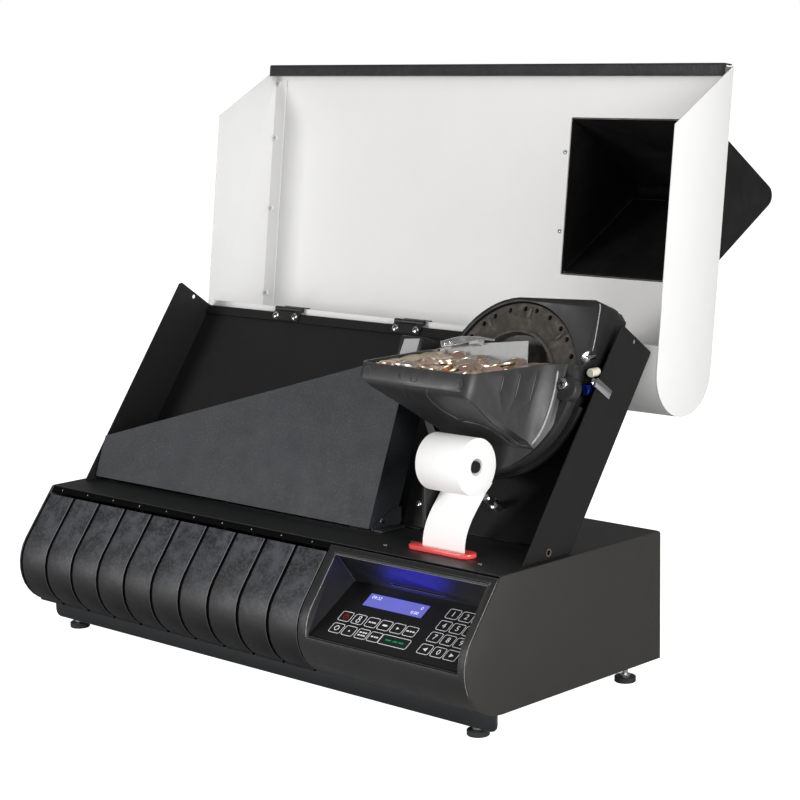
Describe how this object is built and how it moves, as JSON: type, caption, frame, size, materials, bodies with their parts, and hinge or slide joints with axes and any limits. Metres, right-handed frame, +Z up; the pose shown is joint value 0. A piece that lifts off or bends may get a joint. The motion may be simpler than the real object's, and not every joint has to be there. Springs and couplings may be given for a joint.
{
  "type": "coin sorting machine",
  "caption": "Counter-top coin sorter with a tilting lid, coin drawers under a sorting rail, an inclined disc hopper with a bowl, a sunken keypad and a receipt printer.",
  "frame": {"origin": "on the floor under the middle of the whole machine's box, feet included", "axes": "+X along the width, to the right as seen from the front; +Y towards the rear, where the lid leans; +Z up"},
  "size_m": [0.6932, 0.5456, 0.6443],
  "materials": {
    "black_coat": "fine matt powder coat",
    "white_coat": "fine powder coat",
    "black_plastic": "grained",
    "grey_grain": "leather grain",
    "zinc": "bright zinc",
    "steel": "satin",
    "black_rubber": "matt",
    "red_plastic": "gloss",
    "paper": "plain paper",
    "foil": "matt film",
    "display": "lit display",
    "blue_anodised": "blue anodised",
    "disc_plastic": "scuffed",
    "cream_nylon": "plain",
    "board": "varnished"
  },
  "bodies": {
    "base": {"base_tray": "black_coat", "left_side_plate": "black_coat", "right_side_plate": "black_coat", "top_plate": "black_coat", "rear_panel": "black_coat", "front_rail": "black_coat", "foot_front_left": "black_rubber", "foot_front_right": "black_rubber", "foot_rear_left": "black_rubber", "foot_rear_right": "black_rubber", "drawer_guide": "black_coat", "control_housing": "black_plastic", "keypad_foil": "foil", "lcd_display": "display", "control_board": "board", "printer_unit": "black_plastic", "paper_slot_bezel": "red_plastic", "paper_strip": "paper", "roll_bracket": "black_coat", "mechanism_frame": "black_coat", "rail_cover": "grey_grain", "sorting_rail": "steel", "coin_sensor": "black_plastic", "hopper_bracket": "black_coat", "hopper_housing": "black_plastic", "hopper_motor": "steel", "hopper_bowl": "black_plastic", "coin_baffle": "steel", "latch_bush": "cream_nylon", "latch_hook": "steel", "panel_stud": "zinc", "hinge_leaf_1": "black_coat", "hinge_leaf_2": "black_coat", "hinge_leaf_3": "black_coat", "power_inlet": "black_plastic"},
    "lid": {"lid_shell": "white_coat", "lid_left_plate": "white_coat", "lid_right_plate": "white_coat", "edge_trim": "black_rubber", "inlet_hood": "black_coat", "hinge_strap_1": "black_coat", "hinge_strap_2": "black_coat", "hinge_strap_3": "black_coat"},
    "flap": {"hood_flap": "black_coat"},
    "disc": {"hopper_disc": "disc_plastic"},
    "roll": {"paper_roll": "paper"},
    "platen": {"platen_roller": "black_rubber"},
    "knob": {"latch_knob": "blue_anodised"},
    "wing": {"wing_screw": "zinc"},
    "rocker": {"power_rocker": "black_plastic"},
    "drawer_1": {"drawer_1": "black_plastic"},
    "drawer_2": {"drawer_2": "black_plastic"},
    "drawer_3": {"drawer_3": "black_plastic"},
    "drawer_4": {"drawer_4": "black_plastic"},
    "drawer_5": {"drawer_5": "black_plastic"},
    "drawer_6": {"drawer_6": "black_plastic"},
    "drawer_7": {"drawer_7": "black_plastic"},
    "drawer_8": {"drawer_8": "black_plastic"},
    "drawer_9": {"drawer_9": "black_plastic"},
    "drawer_10": {"drawer_10": "black_plastic"}
  },
  "joints": [
    {"name": "lid_hinge", "type": "hinge", "parent": "base", "child": "lid", "pos_m": [0, 0.02725, 0.35853], "axis": [1, 0, 0], "range_deg": [0, 150.8]},
    {"name": "flap_hinge", "type": "hinge", "parent": "lid", "child": "flap", "pos_m": [0.2284, 0.13705, 0.41345], "axis": [-1, 0, 0], "range_deg": [0, 95]},
    {"name": "disc_spin", "type": "hinge", "parent": "base", "child": "disc", "pos_m": [0.2314, -0.06828, 0.32219], "axis": [0, -0.9304, 0.3665], "continuous": true},
    {"name": "roll_spin", "type": "hinge", "parent": "base", "child": "roll", "pos_m": [0.2384, -0.16328, 0.2538], "axis": [1, 0, 0], "continuous": true},
    {"name": "platen_spin", "type": "hinge", "parent": "base", "child": "platen", "pos_m": [0.2374, -0.17708, 0.136], "axis": [1, 0, 0], "continuous": true},
    {"name": "knob_turn", "type": "hinge", "parent": "base", "child": "knob", "pos_m": [0.3289, -0.06458, 0.3254], "axis": [0, 1, 0], "continuous": true},
    {"name": "wing_turn", "type": "hinge", "parent": "base", "child": "wing", "pos_m": [0.331, -0.07108, 0.358], "axis": [0, 1, 0], "continuous": true},
    {"name": "rocker_tilt", "type": "hinge", "parent": "base", "child": "rocker", "pos_m": [0.2734, 0.03122, 0.0985], "axis": [1, 0, 0], "range_deg": [0, 12]},
    {"name": "drawer_1_slide", "type": "slide", "parent": "base", "child": "drawer_1", "axis": [0, -1, 0], "range_m": [0, 0.19]},
    {"name": "drawer_2_slide", "type": "slide", "parent": "base", "child": "drawer_2", "axis": [0, -1, 0], "range_m": [0, 0.19]},
    {"name": "drawer_3_slide", "type": "slide", "parent": "base", "child": "drawer_3", "axis": [0, -1, 0], "range_m": [0, 0.19]},
    {"name": "drawer_4_slide", "type": "slide", "parent": "base", "child": "drawer_4", "axis": [0, -1, 0], "range_m": [0, 0.19]},
    {"name": "drawer_5_slide", "type": "slide", "parent": "base", "child": "drawer_5", "axis": [0, -1, 0], "range_m": [0, 0.19]},
    {"name": "drawer_6_slide", "type": "slide", "parent": "base", "child": "drawer_6", "axis": [0, -1, 0], "range_m": [0, 0.19]},
    {"name": "drawer_7_slide", "type": "slide", "parent": "base", "child": "drawer_7", "axis": [0, -1, 0], "range_m": [0, 0.19]},
    {"name": "drawer_8_slide", "type": "slide", "parent": "base", "child": "drawer_8", "axis": [0, -1, 0], "range_m": [0, 0.19]},
    {"name": "drawer_9_slide", "type": "slide", "parent": "base", "child": "drawer_9", "axis": [0, -1, 0], "range_m": [0, 0.19]},
    {"name": "drawer_10_slide", "type": "slide", "parent": "base", "child": "drawer_10", "axis": [0, -1, 0], "range_m": [0, 0.19]}
  ],
  "couplings": [
    {"joint": "platen_spin", "follows": "roll_spin", "ratio": -5.635}
  ]
}
